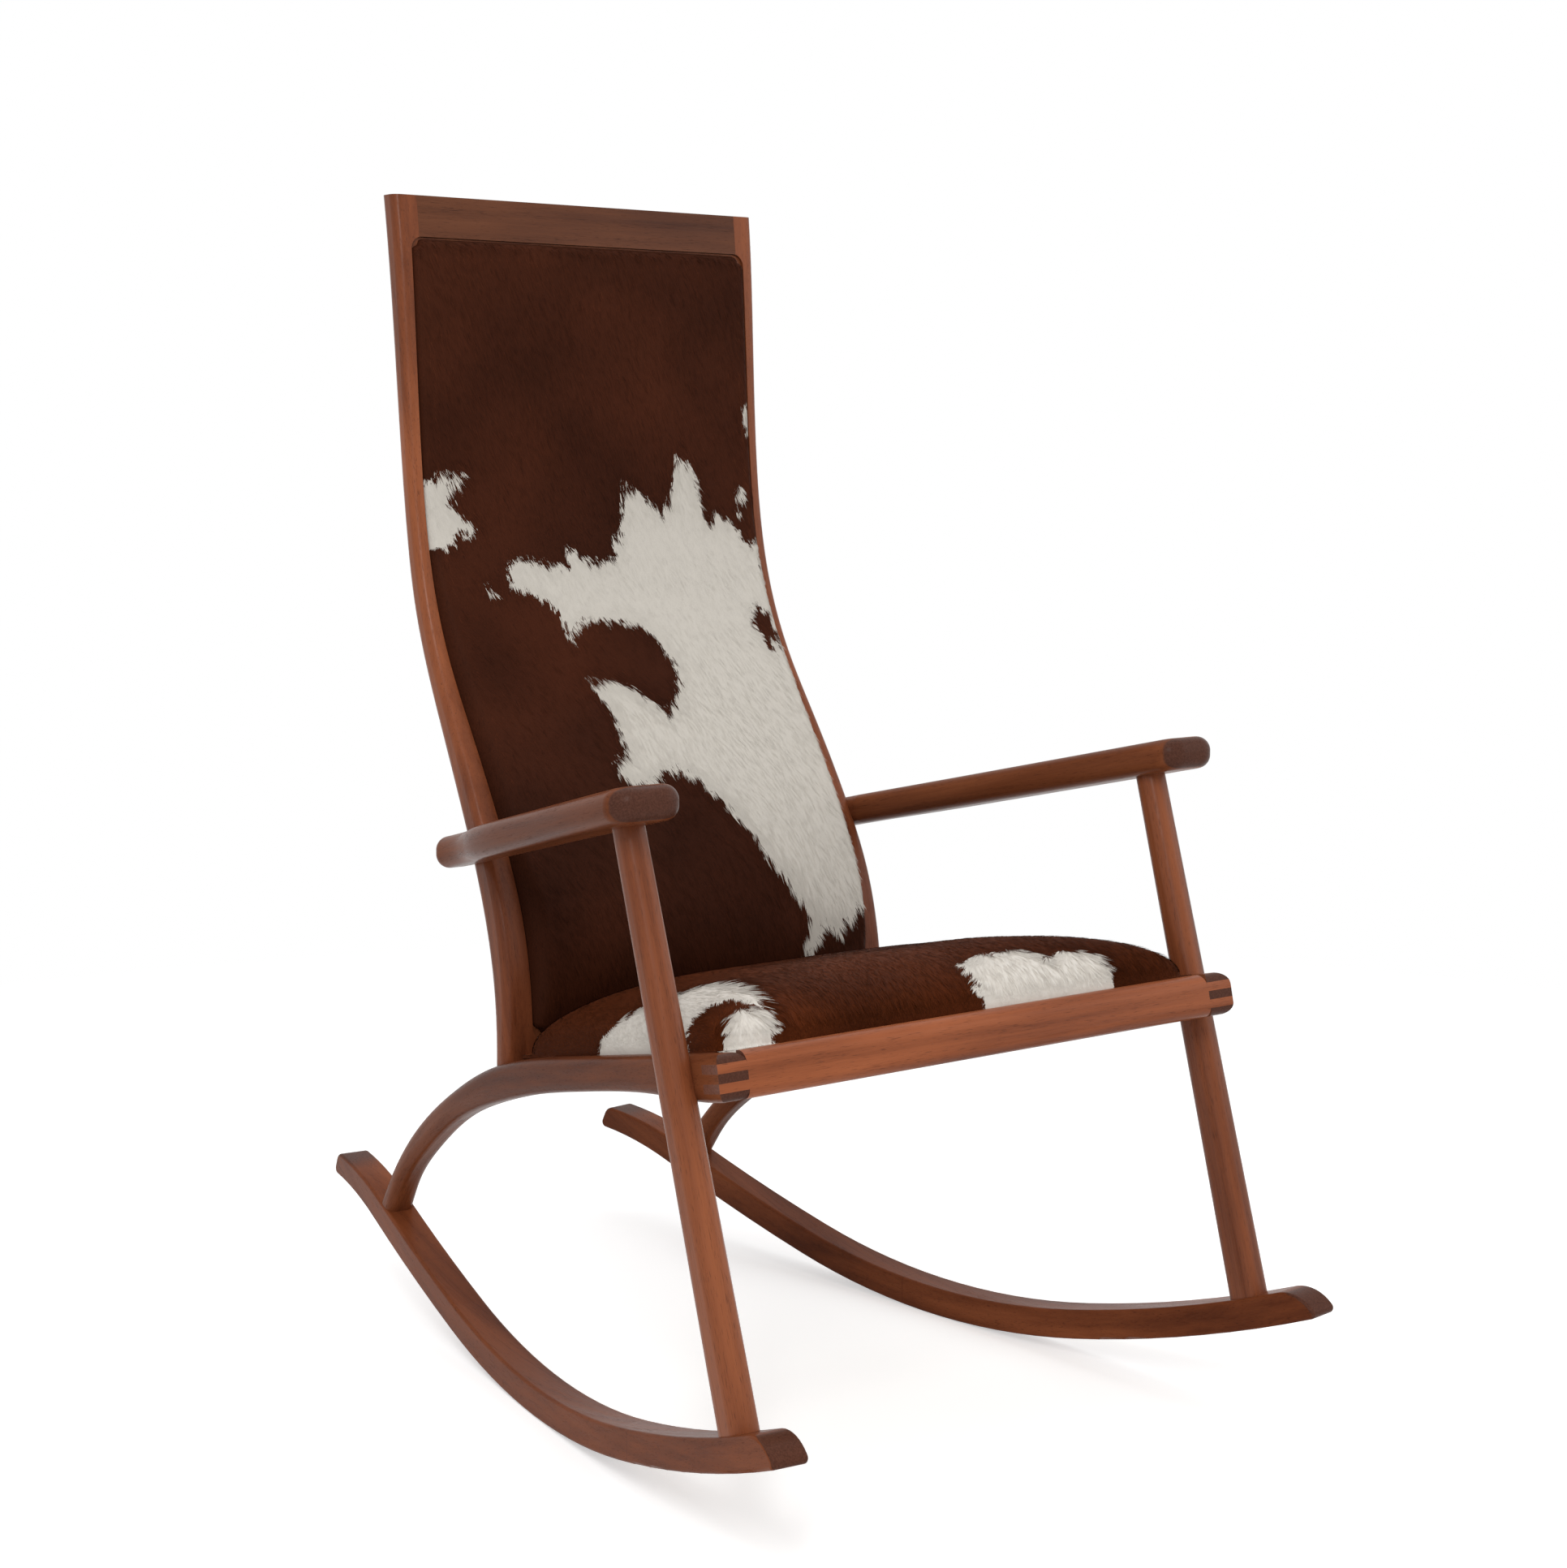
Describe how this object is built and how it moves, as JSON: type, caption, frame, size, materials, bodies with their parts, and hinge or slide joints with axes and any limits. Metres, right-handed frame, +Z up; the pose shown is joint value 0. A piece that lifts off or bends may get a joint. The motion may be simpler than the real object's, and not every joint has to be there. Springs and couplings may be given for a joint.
{
  "type": "rocking chair",
  "caption": "Wooden rocking chair with a tall curved upholstered back, padded seat, slim rising arms and long bent rockers; seat and back panels covered in patched hair-on cowhide.",
  "frame": {"origin": "on the floor, under the middle of the chair's overall box", "axes": "+Z up, the sitter faces -Y, +X is the sitter's left; the chair is the same on both sides of X = 0"},
  "size_m": [0.67, 0.9884, 1.1284],
  "materials": {
    "walnut": "oiled satin",
    "plywood": "raw sanded",
    "foam": "matte open cell",
    "hide": "short glossy hair",
    "dowel_wood": "raw turned",
    "steel": "zinc plated"
  },
  "bodies": {
    "root": {"rocker_right": "walnut", "rocker_left": "walnut", "front_leg_right": "walnut", "front_leg_left": "walnut", "side_rail_right": "walnut", "side_rail_left": "walnut", "back_post_right": "walnut", "back_post_left": "walnut", "arm_right": "walnut", "arm_left": "walnut", "front_rail": "walnut", "rear_seat_rail": "walnut", "crest_rail": "walnut", "back_board": "plywood", "seat_board": "plywood", "back_foam": "foam", "seat_foam": "foam", "back_hide": "hide", "seat_hide": "hide", "crest_dowels": "dowel_wood", "seat_rail_dowels": "dowel_wood", "post_foot_dowels": "dowel_wood", "arm_dowels": "dowel_wood", "back_screws": "steel", "seat_screws": "steel"}
  },
  "joints": []
}
